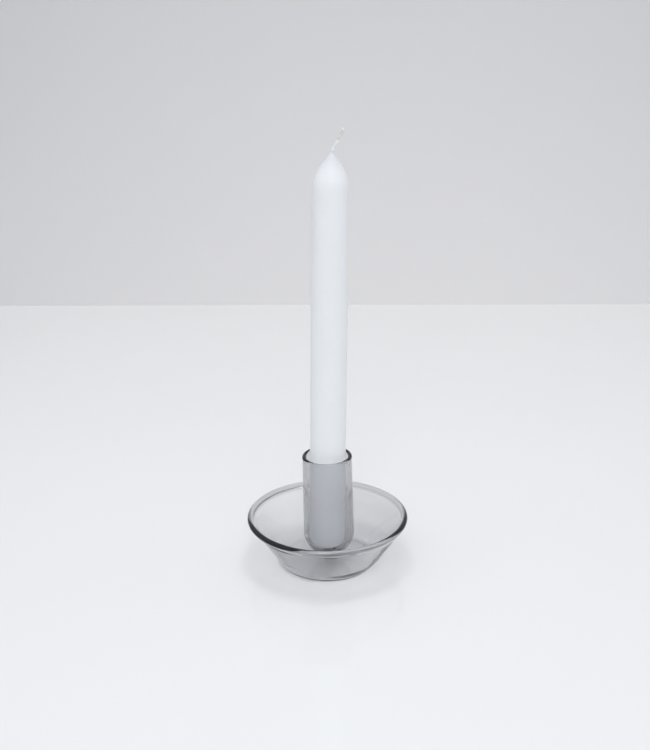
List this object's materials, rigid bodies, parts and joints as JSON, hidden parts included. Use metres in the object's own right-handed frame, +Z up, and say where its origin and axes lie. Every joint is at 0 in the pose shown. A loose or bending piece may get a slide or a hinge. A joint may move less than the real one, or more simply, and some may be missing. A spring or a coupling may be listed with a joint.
{
  "type": "candlestick",
  "caption": "Low glass candlestick: a flared saucer with a round-bottomed candle tube welded to its floor, holding a plain pointed dinner candle",
  "frame": {"origin": "centre of the saucer's flat underside", "axes": "+Z up along the saucer's axis; -Y is the side seen from the front; +X is to the right from there"},
  "size_m": [0.1, 0.1, 0.2712],
  "materials": {
    "smoke_glass": "clear, fire-polished, smoke grey",
    "white_wax": "satin",
    "wick_cotton": "braided, matt"
  },
  "bodies": {
    "holder": {"dish": "smoke_glass", "candle_tube": "smoke_glass", "glass_weld": "smoke_glass"},
    "candle": {"candle_wax": "white_wax", "wick": "wick_cotton"}
  },
  "joints": [
    {"name": "candle_lift", "type": "slide", "parent": "holder", "child": "candle", "axis": [0.014, 0, 0.9999], "range_m": [0, 0.07]}
  ]
}
